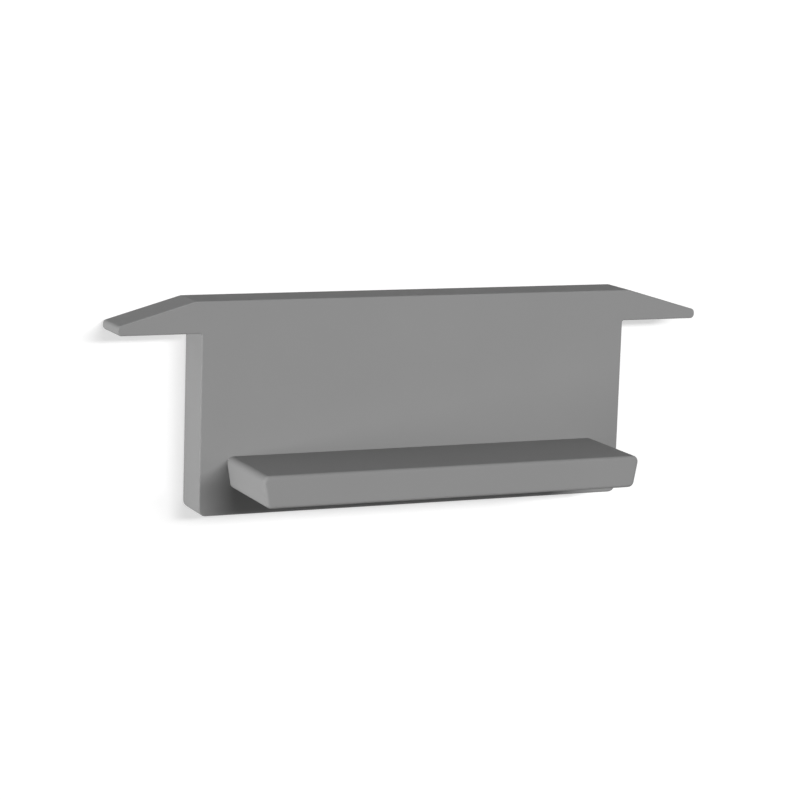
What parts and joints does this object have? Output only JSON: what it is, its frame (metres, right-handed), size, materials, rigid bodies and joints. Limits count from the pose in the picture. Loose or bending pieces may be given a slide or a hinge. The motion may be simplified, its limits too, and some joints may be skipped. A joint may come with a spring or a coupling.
{
  "type": "profile end cap",
  "caption": "Flat push-in end cap for a recessed flanged aluminium profile: a T-shaped plate with sloped flanges and one broad plug.",
  "frame": {"origin": "on the outer face's plane, under the middle of the bounding box", "axes": "+X across the profile, from one flange tip to the other; +Y across the profile's depth, from its floor towards its flanged side; +Z along the profile, out of the seat face and into the channel"},
  "size_m": [0.0274, 0.0092, 0.0066],
  "materials": {
    "cap_plastic": "matte"
  },
  "bodies": {
    "root": {"end_cap": "cap_plastic"}
  },
  "joints": []
}
